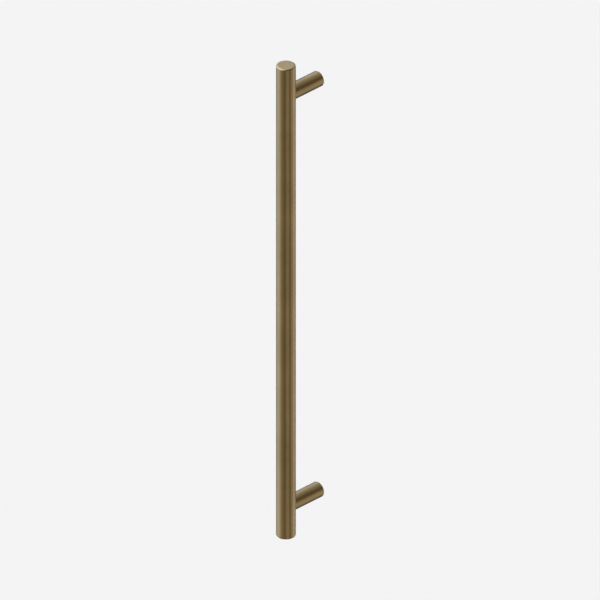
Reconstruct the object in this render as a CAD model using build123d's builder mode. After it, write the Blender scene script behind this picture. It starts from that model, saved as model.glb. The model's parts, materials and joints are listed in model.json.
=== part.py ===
from build123d import *
from math import radians, tan
import os

# A round T-bar door pull, in millimetres. A solid bar lies in the coped ends of two posts, and a
# grub screw inside each post, driven from the door side, ties that post to the bar.
# The door face is the plane Y = 0 and the handle stands out from it towards -Y. Z runs up along
# the bar, and the origin is midway between the two fixing holes.

# Grip bar. The standoff runs from the door face to the bar's axis.
bar_length = 600
bar_diameter = 22
bar_end_radius = 1.8
bar_standoff = 51

# Posts. The inset runs from each end of the bar to a post's axis, and the seat gap is the
# hairline between a post's saddle and the bar.
post_inset = 38
post_diameter = 18.4
post_edge_radius = 1.1
seat_gap = 0.05

# M6 grub screws. Each reaches the bar depth into the bar and has the rest of its length in the
# post, with the recess between its socket end and the fixing hole.
stud_diameter = 6
stud_length = 25
stud_bar_depth = 11
stud_end_gap = 0.5
stud_recess = 5
stud_chamfer = 0.8
socket_flats = 3
socket_depth = 3.5
socket_sides = 6

# Tapped holes, bored at the thread's outer diameter. The door's fixing bolts are M8. A drill's
# point leaves a cone, cut off by a small flat as wide as the drill's web.
fixing_diameter = 8
fixing_mouth_chamfer = 0.4
countersink_angle = 90
thread_clearance = 0.05
drill_point_angle = 118
drill_web = 0.6


def point_height(radius):
    """The height of the whole cone of a drill's point on a base of this radius."""
    return radius / tan(radians(drill_point_angle / 2))


def facing_door(reach, height):
    """A plane this far out from the door face and this high on the handle, facing the door."""
    return Plane(origin=(0, -reach, height), x_dir=(1, 0, 0), z_dir=(0, 1, 0))


def cut_drill_point(mouth, radius, depth):
    """Cut the cone that a drill leaves below a hole; the mouth plane faces out of the metal."""
    with Locations(-mouth.offset(-depth)):
        Cone(
            bottom_radius=radius,
            top_radius=drill_web / 2,
            height=point_height(radius) - point_height(drill_web / 2),
            align=(Align.CENTER, Align.CENTER, Align.MIN),
            mode=Mode.SUBTRACT,
        )


# Worked out from the driving dimensions
bar_radius = bar_diameter / 2
bar_back_reach = bar_standoff - bar_radius
upper_height = bar_length / 2 - post_inset
post_heights = {"upper_post": upper_height, "lower_post": -upper_height}
stud_hole_radius = stud_diameter / 2 + thread_clearance
stud_hole_depth = stud_bar_depth + stud_end_gap
stud_tip_reach = bar_back_reach + stud_bar_depth
stud_socket_reach = stud_tip_reach - stud_length
fixing_hole_radius = fixing_diameter / 2 + thread_clearance
fixing_step_height = point_height(fixing_hole_radius) - point_height(stud_hole_radius)
fixing_hole_depth = stud_socket_reach - stud_recess - fixing_step_height

os.makedirs("parts", exist_ok=True)

# Grip bar: round bar stock with eased ends and a blind hole behind each post
with BuildPart() as grip_bar:
    with BuildSketch(Plane.XY.offset(-bar_length / 2)):
        with Locations((0, -bar_standoff)):
            Circle(bar_radius)
    extrude(amount=bar_length)
    fillet(grip_bar.edges().filter_by(GeomType.CIRCLE), bar_end_radius)
    for height in post_heights.values():
        bar_mouth = facing_door(bar_back_reach, height)
        with Locations(bar_mouth):
            Hole(stud_hole_radius, stud_hole_depth)
        cut_drill_point(bar_mouth, stud_hole_radius, stud_hole_depth)
grip_bar.part.label = "grip_bar"
export_step(grip_bar.part, "parts/grip_bar.step")

# Posts: coped to the bar at one end, eased at the door end, with a stepped hole along the axis
for post_name, height in post_heights.items():
    with BuildPart() as post:
        with BuildSketch(Plane.XZ):
            with Locations((0, height)):
                Circle(post_diameter / 2)
        extrude(amount=bar_standoff)
        fillet(post.edges().filter_by(GeomType.CIRCLE).sort_by(Axis.Y)[-1], post_edge_radius)
        # The saddle follows the bar with the seat gap
        with BuildSketch(Plane.XY.offset(height)):
            with Locations((0, -bar_standoff)):
                Circle(bar_radius + seat_gap)
        extrude(amount=post_diameter, both=True, mode=Mode.SUBTRACT)
        # The grub screw's thread runs right through, below the wider fixing hole
        door_mouth = facing_door(0, height)
        with Locations(door_mouth):
            Hole(stud_hole_radius)
            CounterSinkHole(
                radius=fixing_hole_radius,
                counter_sink_radius=fixing_hole_radius + fixing_mouth_chamfer,
                depth=fixing_hole_depth,
                counter_sink_angle=countersink_angle,
            )
        cut_drill_point(door_mouth, fixing_hole_radius, fixing_hole_depth)
    post.part.label = post_name
    export_step(post.part, f"parts/{post_name}.step")

# Joining studs: one grub screw across each seam, its hexagon socket facing the door
with BuildPart() as joining_studs:
    for height in post_heights.values():
        with BuildSketch(facing_door(stud_tip_reach, height)):
            Circle(stud_diameter / 2)
        extrude(amount=stud_length)
    chamfer(joining_studs.edges().filter_by(GeomType.CIRCLE), stud_chamfer)
    for height in post_heights.values():
        with BuildSketch(facing_door(stud_socket_reach, height)):
            RegularPolygon(socket_flats / 2, socket_sides, major_radius=False)
        extrude(amount=-socket_depth, mode=Mode.SUBTRACT)
joining_studs.part.label = "joining_studs"
export_step(joining_studs.part, "parts/joining_studs.step")
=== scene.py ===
import json
import math

import bmesh
import bpy
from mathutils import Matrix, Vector


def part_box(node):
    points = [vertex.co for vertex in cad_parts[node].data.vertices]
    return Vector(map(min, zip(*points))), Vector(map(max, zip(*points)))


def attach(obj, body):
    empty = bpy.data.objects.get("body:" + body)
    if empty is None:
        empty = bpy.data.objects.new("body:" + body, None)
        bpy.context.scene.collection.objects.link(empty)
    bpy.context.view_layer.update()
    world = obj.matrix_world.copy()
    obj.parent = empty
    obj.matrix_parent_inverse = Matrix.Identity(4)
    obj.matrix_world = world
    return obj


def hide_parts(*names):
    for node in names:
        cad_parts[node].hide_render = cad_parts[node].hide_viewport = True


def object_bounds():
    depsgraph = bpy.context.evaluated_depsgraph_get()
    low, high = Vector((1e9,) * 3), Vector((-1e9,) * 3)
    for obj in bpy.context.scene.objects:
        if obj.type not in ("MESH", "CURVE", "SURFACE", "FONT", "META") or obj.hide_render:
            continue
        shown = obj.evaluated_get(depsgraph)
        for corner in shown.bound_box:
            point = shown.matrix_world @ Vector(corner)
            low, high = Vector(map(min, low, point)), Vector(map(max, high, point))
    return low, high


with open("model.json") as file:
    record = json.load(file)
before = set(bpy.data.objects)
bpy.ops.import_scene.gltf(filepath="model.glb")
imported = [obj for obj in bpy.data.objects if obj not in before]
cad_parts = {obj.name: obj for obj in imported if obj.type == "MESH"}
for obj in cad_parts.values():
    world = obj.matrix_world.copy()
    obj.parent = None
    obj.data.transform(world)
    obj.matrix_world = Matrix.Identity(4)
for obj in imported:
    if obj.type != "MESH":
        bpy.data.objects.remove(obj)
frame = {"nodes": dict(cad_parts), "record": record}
cad_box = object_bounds()
scene = bpy.context.scene
mounts = {mount["name"]: mount for mount in frame["record"]["mounts"]}

# The photograph's view is parallel. Its angles are in degrees and its width in metres, and the bar's
# axis stands this many pixels from the left of the square picture.
view_azimuth = 45
view_elevation = 30
view_width = 0.66306
camera_distance = 2.0
image_side = 600
bar_axis_pixel = 285.95

# Studio light: a dim warm surround with soft panels in it. The bar mirrors what lies 30 degrees below
# the horizon, so the cards stand low, and its top face mirrors the upper rear. Each panel is an
# azimuth and an elevation, the half-angles where it starts to fade and has faded out, all in degrees,
# a strength and a tint.
surround_colour = (0.2, 0.155, 0.095)
neutral_tint = (1.0, 1.0, 1.0)
cool_tint = (0.9, 1.0, 1.1)
sky_tint = (0.85, 1.0, 1.2)
panels = {
    "left_key": (-100, 30, 25, 85, 1.5, cool_tint),
    "low_left_card": (-35, -30, 5, 25, 0.12, neutral_tint),
    "front_card": (20, -30, 10, 25, 0.25, neutral_tint),
    "right_card": (90, -25, 5, 40, 0.35, neutral_tint),
    "rear_right_card": (125, -5, 15, 45, 0.35, neutral_tint),
    "rear_fill": (170, 50, 0, 60, 0.3, sky_tint),
}
backdrop_colour = (0.905, 0.905, 0.905)
floor_light_colour = (1.0, 1.0, 1.0)

# Floor, in metres
floor_drop = 0.35
floor_side = 12.0
floor_colour = (0.846, 0.83, 0.826)

# Brushed antique brass under a thin lacquer
brass_pale_colour = (0.43, 0.328, 0.167)
brass_dark_colour = (0.355, 0.265, 0.129)
brass_groove_colour = (0.3, 0.22, 0.1)
# The paler edge colour is partly wear on the rounded rims and partly a painted highlight that stands in
# for the key light's reflection there
brass_edge_wear_and_highlight_colour = (0.46, 0.36, 0.2)
brass_roughness = 0.21
lacquer_weight = 0.4
lacquer_roughness = 0.15

# Grain of the brass. A noise is its waves per metre, its octaves and the weight of each next octave.
# The stretch slows a noise down along the grain, and on end faces it runs in rings.
grain_stretch = 0.012
streak_noise = (2600, 3, 0.6)
streak_ring_noise = (2400, 3, 0.6)
band_noise = (500, 2, 0.5)
band_ring_noise = (600, 2, 0.5)
patina_noise = (24, 4, 0.55)

# How the grain shows. A span is where an effect starts and where it is full: in a noise's own values,
# or for end faces and edges in the part of the normal that points along the grain. A share is how much
# of its colour an effect mixes in.
end_face_span = (0.96, 0.995)
edge_rise_span = (0.15, 0.65)
edge_fall_span = (0.8, 0.99)
edge_wear_and_highlight_share = 0.55
patina_span = (0.32, 0.68)
band_span = (0.5, 0.75)
band_share = 0.35
streak_span = (0.52, 0.78)
streak_share = 0.55
streak_roughness_span = (0.25, 0.75)
streak_roughness_change = 0.05
patina_roughness_span = (0.3, 0.7)
patina_roughness_change = 0.02
streak_bump_strength = 0.15
streak_bump_depth = 0.00004

# Plain machined steel, a little mottled by oil
steel_pale_colour = (0.34, 0.34, 0.35)
steel_dark_colour = (0.22, 0.22, 0.23)
mottle_noise = (700, 4, 0.6)
mottle_span = (0.35, 0.65)
mottle_roughness_span = (0.3, 0.7)
steel_roughness_range = (0.3, 0.44)
steel_grain_noise = (6000, 2, 0.5)
steel_bump_strength = 0.2
steel_bump_depth = 0.00002

# Threads, in metres. The depths and widths are shares of the pitch in the metric thread form. A ridge's
# foot is sunk into its wall, and over the fade turns at both ends its height drops to the end share.
fixing_pitch = 0.00125
stud_pitch = 0.001
nut_depth_share = 0.5413
nut_crest_share = 1 / 4
screw_depth_share = 0.6134
screw_crest_share = 1 / 8
flank_angle = math.radians(30)
thread_clearance = 0.00005
thread_sink = 0.00004
thread_fade_turns = 0.75
thread_end_share = 0.1
turn_steps = 48

# Grub screws and the holes they sit in, in metres
stud_chamfer = 0.0008
stud_recess = 0.005
socket_flats = 0.003
socket_depth = 0.0035
socket_sides = 6
socket_point_depth = 0.0006
fixing_mouth_chamfer = 0.0004

# Edges that turn by more than this are sharp
sharp_angle = math.radians(30)

millimetre = 0.001


def studio_direction(azimuth, elevation):
    """A direction in the studio, in degrees: azimuth 0 is on the camera's side and 90 to its right."""
    turn = math.radians(view_azimuth + azimuth)
    rise = math.radians(elevation)
    level = Vector((math.sin(turn), -math.cos(turn), 0))
    return level * math.cos(rise) + Vector((0, 0, math.sin(rise)))


# Node helpers


def add_node(tree, kind, **settings):
    """A new shader node with these properties set."""
    node = tree.nodes.new(kind)
    for name, value in settings.items():
        setattr(node, name, value)
    return node


def put(tree, socket, value):
    """Link a socket to another, or set it to a constant."""
    if isinstance(value, bpy.types.NodeSocket):
        tree.links.new(value, socket)
    elif socket.type == "RGBA" and len(value) == 3:
        socket.default_value = (*value, 1)
    else:
        socket.default_value = value


def math_node(tree, operation, *values):
    """An arithmetic node on numbers."""
    node = add_node(tree, "ShaderNodeMath", operation=operation)
    for socket, value in zip(node.inputs, values):
        put(tree, socket, value)
    return node.outputs[0]


def vector_math(tree, operation, *values):
    """An arithmetic node on vectors, which gives a vector or a number."""
    node = add_node(tree, "ShaderNodeVectorMath", operation=operation)
    for socket, value in zip(node.inputs, values):
        put(tree, socket, value)
    return node.outputs["Value" if operation in ("DOT_PRODUCT", "LENGTH") else "Vector"]


def map_range(tree, value, span, result=(0, 1), blend="LINEAR"):
    """Map the values of a span to those of a result, and hold them at its ends."""
    node = add_node(tree, "ShaderNodeMapRange", interpolation_type=blend)
    put(tree, node.inputs["Value"], value)
    for end, span_value, result_value in zip(("Min", "Max"), span, result):
        put(tree, node.inputs[f"From {end}"], span_value)
        put(tree, node.inputs[f"To {end}"], result_value)
    return node.outputs["Result"]


def mix(tree, factor, first, second, data_type="RGBA", blend="MIX"):
    """Blend two colours, or two numbers with the data type FLOAT."""
    node = add_node(tree, "ShaderNodeMix", data_type=data_type, blend_type=blend)
    suffix = "Color" if data_type == "RGBA" else "Float"
    sockets = {socket.identifier: socket for socket in node.inputs}
    put(tree, sockets["Factor_Float"], factor)
    put(tree, sockets[f"A_{suffix}"], first)
    put(tree, sockets[f"B_{suffix}"], second)
    return next(s for s in node.outputs if s.identifier == f"Result_{suffix}")


def noise(tree, vector, scale, detail, roughness):
    """A soft noise, mostly between 0.2 and 0.8."""
    node = add_node(tree, "ShaderNodeTexNoise")
    put(tree, node.inputs["Vector"], vector)
    put(tree, node.inputs["Scale"], scale)
    put(tree, node.inputs["Detail"], detail)
    put(tree, node.inputs["Roughness"], roughness)
    return node.outputs["Fac"]


def add_bump(tree, shader, height, strength, depth):
    """Roughen a shader's surface by a noise."""
    bump = add_node(tree, "ShaderNodeBump")
    put(tree, bump.inputs["Strength"], strength)
    put(tree, bump.inputs["Distance"], depth)
    put(tree, bump.inputs["Height"], height)
    put(tree, shader.inputs["Normal"], bump.outputs["Normal"])


def new_material(name):
    """A new material, with its node tree and its shader."""
    material = bpy.data.materials.new(name)
    material.use_nodes = True
    return material, material.node_tree, material.node_tree.nodes["Principled BSDF"]


# Stage


def build_world():
    """Panels that only reflections show, a plain backdrop for the camera and even light on the floor."""
    world = bpy.data.worlds.new("studio")
    world.use_nodes = True
    scene.world = world
    tree = world.node_tree
    direction = add_node(tree, "ShaderNodeTexCoord").outputs["Generated"]
    light = surround_colour
    for azimuth, elevation, fade_start, fade_end, strength, tint in panels.values():
        along = vector_math(tree, "DOT_PRODUCT", direction, studio_direction(azimuth, elevation))
        fade = (math.cos(math.radians(fade_end)), math.cos(math.radians(fade_start)))
        cover = map_range(tree, along, fade, blend="SMOOTHSTEP")
        glow = [strength * part for part in tint]
        light = mix(tree, cover, light, glow, blend="ADD")
    path = add_node(tree, "ShaderNodeLightPath")
    light = mix(tree, path.outputs["Is Diffuse Ray"], light, floor_light_colour)
    light = mix(tree, path.outputs["Is Camera Ray"], light, backdrop_colour)
    put(tree, tree.nodes["Background"].inputs["Color"], light)


def build_camera():
    """A parallel camera at the photograph's angle, with the bar where the photograph has it."""
    data = bpy.data.cameras.new("camera")
    data.type = "ORTHO"
    data.ortho_scale = view_width
    camera = bpy.data.objects.new("camera", data)
    scene.collection.objects.link(camera)
    back = studio_direction(0, view_elevation)
    right = studio_direction(90, 0)
    low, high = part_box("grip_bar")
    side_step = (image_side / 2 - bar_axis_pixel) * view_width / image_side
    camera.location = (low + high) / 2 + right * side_step + back * camera_distance
    camera.rotation_mode = "QUATERNION"
    camera.rotation_quaternion = (-back).to_track_quat("-Z", "Y")
    scene.camera = camera


def build_floor():
    """A plain pale floor, well below the handle."""
    mesh = bpy.data.meshes.new("floor")
    half = floor_side / 2
    height = cad_box[0].z - floor_drop
    corners = [(-half, -half, height), (half, -half, height), (half, half, height), (-half, half, height)]
    mesh.from_pydata(corners, [], [(0, 1, 2, 3)])
    material, tree, shader = new_material("floor")
    put(tree, shader.inputs["Base Color"], floor_colour)
    put(tree, shader.inputs["Roughness"], 1.0)
    put(tree, shader.inputs["Specular IOR Level"], 0.0)
    mesh.materials.append(material)
    floor = bpy.data.objects.new("floor", mesh)
    scene.collection.objects.link(floor)
    # The panels below the horizon stand for the floor in the metal's reflections
    floor.visible_glossy = False


# Materials


def by_axis(grain_axis, along, across):
    """A vector with one value along the grain and another across it."""
    return [along if axis == grain_axis else across for axis in "XYZ"]


def grain_masks(tree, normal, grain_axis):
    """Where a surface is an end face across the grain, and where it is the rounded edge of one."""
    parts = add_node(tree, "ShaderNodeSeparateXYZ")
    put(tree, parts.inputs[0], normal)
    facing = math_node(tree, "ABSOLUTE", parts.outputs[grain_axis])
    end_face = map_range(tree, facing, end_face_span, blend="SMOOTHSTEP")
    rise = map_range(tree, facing, edge_rise_span, blend="SMOOTHSTEP")
    fall = map_range(tree, facing, edge_fall_span, (1, 0), "SMOOTHSTEP")
    return end_face, math_node(tree, "MULTIPLY", rise, fall)


def build_brass(name, node_name, grain_axis):
    """Antique brass for one node, brushed along its axis, with turned end faces and paler edges, partly
    wear and partly a painted highlight.
    """
    material, tree, shader = new_material(name)
    place = add_node(tree, "ShaderNodeTexCoord")
    end_face, edge = grain_masks(tree, place.outputs["Normal"], grain_axis)

    low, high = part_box(node_name)
    from_centre = vector_math(tree, "SUBTRACT", place.outputs["Object"], (low + high) / 2)
    from_axis = vector_math(tree, "MULTIPLY", from_centre, by_axis(grain_axis, 0.0, 1.0))
    radius = vector_math(tree, "LENGTH", from_axis)
    stretch = by_axis(grain_axis, grain_stretch, 1.0)
    along_grain = vector_math(tree, "MULTIPLY", place.outputs["Object"], stretch)

    def brushed(straight_noise, ring_noise):
        """A noise drawn out along the grain, and in rings on the end faces."""
        straight = noise(tree, along_grain, *straight_noise)
        rings = noise(tree, radius, *ring_noise)
        return mix(tree, end_face, straight, rings, "FLOAT")

    streaks = brushed(streak_noise, streak_ring_noise)
    bands = brushed(band_noise, band_ring_noise)
    patina = noise(tree, place.outputs["Object"], *patina_noise)

    colour = mix(tree, map_range(tree, patina, patina_span), brass_pale_colour, brass_dark_colour)
    for pattern, span, share in ((bands, band_span, band_share), (streaks, streak_span, streak_share)):
        colour = mix(tree, map_range(tree, pattern, span, (0, share)), colour, brass_groove_colour)
    # Paler rounded edges: partly wear, partly a painted highlight on the rims
    colour = mix(tree, math_node(tree, "MULTIPLY", edge, edge_wear_and_highlight_share), colour, brass_edge_wear_and_highlight_colour)

    streak_range = (brass_roughness - streak_roughness_change, brass_roughness + streak_roughness_change)
    patina_range = (-patina_roughness_change, patina_roughness_change)
    streak_roughness = map_range(tree, streaks, streak_roughness_span, streak_range)
    patina_roughness = map_range(tree, patina, patina_roughness_span, patina_range)

    put(tree, shader.inputs["Base Color"], colour)
    put(tree, shader.inputs["Metallic"], 1.0)
    put(tree, shader.inputs["Roughness"], math_node(tree, "ADD", streak_roughness, patina_roughness))
    put(tree, shader.inputs["Coat Weight"], lacquer_weight)
    put(tree, shader.inputs["Coat Roughness"], lacquer_roughness)
    add_bump(tree, shader, streaks, streak_bump_strength, streak_bump_depth)
    return material


def build_steel(name):
    """Machined steel with a fine grain."""
    material, tree, shader = new_material(name)
    place = add_node(tree, "ShaderNodeTexCoord").outputs["Object"]
    mottle = noise(tree, place, *mottle_noise)
    colour = mix(tree, map_range(tree, mottle, mottle_span), steel_pale_colour, steel_dark_colour)
    roughness = map_range(tree, mottle, mottle_roughness_span, steel_roughness_range)
    put(tree, shader.inputs["Base Color"], colour)
    put(tree, shader.inputs["Metallic"], 1.0)
    put(tree, shader.inputs["Roughness"], roughness)
    add_bump(tree, shader, noise(tree, place, *steel_grain_noise), steel_bump_strength, steel_bump_depth)
    return material


def dress(node_name, material):
    """Give a CAD node this material."""
    mesh = frame["nodes"][node_name].data
    mesh.materials.clear()
    mesh.materials.append(material)


# Threads and grub screws


class Axle:
    """Points by radius, angle and distance along an axis from its start."""

    def __init__(self, start, along):
        self.start = Vector(start)
        self.along = Vector(along).normalized()
        self.first = self.along.orthogonal().normalized()
        self.second = self.along.cross(self.first)

    def point(self, radius, angle, distance):
        outward = self.first * math.cos(angle) + self.second * math.sin(angle)
        return self.start + outward * radius + self.along * distance


def skin(bm, near, far):
    """Join two rings of points by a band of faces."""
    for step in range(len(near)):
        after = (step + 1) % len(near)
        bm.faces.new((near[step], near[after], far[after], far[step]))


def add_thread(bm, axle, length, pitch, root_radius, rise, crest_share):
    """A closed ridge of right-hand thread that fades out at both ends; a negative rise points inward."""
    crest = pitch * crest_share / 2
    base = crest + abs(rise) * math.tan(flank_angle)
    buried = root_radius - math.copysign(thread_sink, rise)
    steps = round((length - 2 * base) / pitch * turn_steps)
    fade_steps = thread_fade_turns * turn_steps
    sections = []
    for step in range(steps + 1):
        angle = 2 * math.pi * step / turn_steps
        middle = base + pitch * step / turn_steps
        height = max(thread_end_share, min(1, step / fade_steps, (steps - step) / fade_steps))
        half = base + (crest - base) * height
        top = root_radius + rise * height
        corners = ((buried, -base), (top, -half), (top, half), (buried, base))
        points = [axle.point(radius, angle, middle + shift) for radius, shift in corners]
        sections.append([bm.verts.new(point) for point in points])
    for near, far in zip(sections, sections[1:]):
        skin(bm, near, far)
    bm.faces.new(sections[0])
    bm.faces.new(sections[-1])


def add_rings(bm, axle, rings):
    """Skin a row of rings, each a function of the angle that gives the radius, and a distance."""
    angles = [2 * math.pi * step / turn_steps for step in range(turn_steps)]
    loops = []
    for radius, distance in rings:
        loops.append([bm.verts.new(axle.point(radius(angle), angle, distance)) for angle in angles])
    for near, far in zip(loops, loops[1:]):
        skin(bm, near, far)
    return loops


def round_ring(radius):
    """The outline of a circle."""
    return lambda angle: radius


def socket_ring(angle):
    """The outline of the hexagon socket."""
    sector = 2 * math.pi / socket_sides
    return socket_flats / 2 / math.cos((angle + sector / 2) % sector - sector / 2)


def add_piece(bm, name, material):
    """Turn the mesh into a piece of the handle, smooth but for its sharp edges."""
    bmesh.ops.recalc_face_normals(bm, faces=bm.faces)
    for face in bm.faces:
        face.smooth = True
    for edge in bm.edges:
        edge.smooth = edge.calc_face_angle(0) < sharp_angle
    mesh = bpy.data.meshes.new(name)
    bm.to_mesh(mesh)
    bm.free()
    mesh.materials.append(material)
    piece = bpy.data.objects.new(name, mesh)
    scene.collection.objects.link(piece)
    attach(piece, "root")
    return piece


def build_post_threads(name, mount_name, material):
    """The fixing thread in a post's door end, and the empty stretch of the screw's thread behind it."""
    mount = mounts[mount_name]
    hole_length = mount["dims"]["length_mm"] * millimetre
    hole_radius = mount["dims"]["r_mm"] * millimetre
    outward = Vector(mount["axis"])
    mouth = Vector(mount["pos_m"]) + outward * hole_length / 2
    bm = bmesh.new()
    fixing = Axle(mouth - outward * fixing_mouth_chamfer, -outward)
    fixing_rise = -fixing_pitch * nut_depth_share
    add_thread(bm, fixing, hole_length, fixing_pitch, hole_radius, fixing_rise, nut_crest_share)
    stud_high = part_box("joining_studs")[1]
    recess = Axle((mouth.x, stud_high.y + stud_recess, mouth.z), -outward)
    recess_radius = stud_high.x + thread_clearance
    recess_rise = -stud_pitch * nut_depth_share
    add_thread(bm, recess, stud_recess, stud_pitch, recess_radius, recess_rise, nut_crest_share)
    add_piece(bm, name, material)


def build_grub_screw(name, height, material):
    """A threaded grub screw with a hexagon socket that faces the door."""
    low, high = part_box("joining_studs")
    major = high.x
    rise = stud_pitch * screw_depth_share
    minor = major - rise
    length = high.y - low.y
    end = major - stud_chamfer
    slope = minor - end
    axle = Axle((0, low.y, height), (0, 1, 0))
    bm = bmesh.new()
    loops = add_rings(
        bm,
        axle,
        (
            (round_ring(end), 0),
            (round_ring(minor), slope),
            (round_ring(minor), length - slope),
            (round_ring(end), length),
            (socket_ring, length),
            (socket_ring, length - socket_depth),
        ),
    )
    bm.faces.new(loops[0])
    tip = bm.verts.new(axle.point(0, 0, length - socket_depth - socket_point_depth))
    floor_loop = loops[-1]
    for step, corner in enumerate(floor_loop):
        bm.faces.new((corner, floor_loop[(step + 1) % len(floor_loop)], tip))
    add_thread(bm, axle, length, stud_pitch, minor, rise, screw_crest_share)
    piece = add_piece(bm, name, material)
    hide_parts("joining_studs")


# The whole scene

build_world()
build_camera()
build_floor()
dress("grip_bar", build_brass("brass_bar", "grip_bar", "Z"))
steel = build_steel("machined_steel")
for place in ("upper", "lower"):
    post_brass = build_brass(f"brass_{place}_post", f"{place}_post", "Y")
    dress(f"{place}_post", post_brass)
    build_post_threads(f"{place}_post_threads", f"{place}_fixing_hole", post_brass)
    build_grub_screw(f"{place}_grub_screw", mounts[f"{place}_fixing_hole"]["pos_m"][2], steel)
scene.view_settings.view_transform = "Standard"
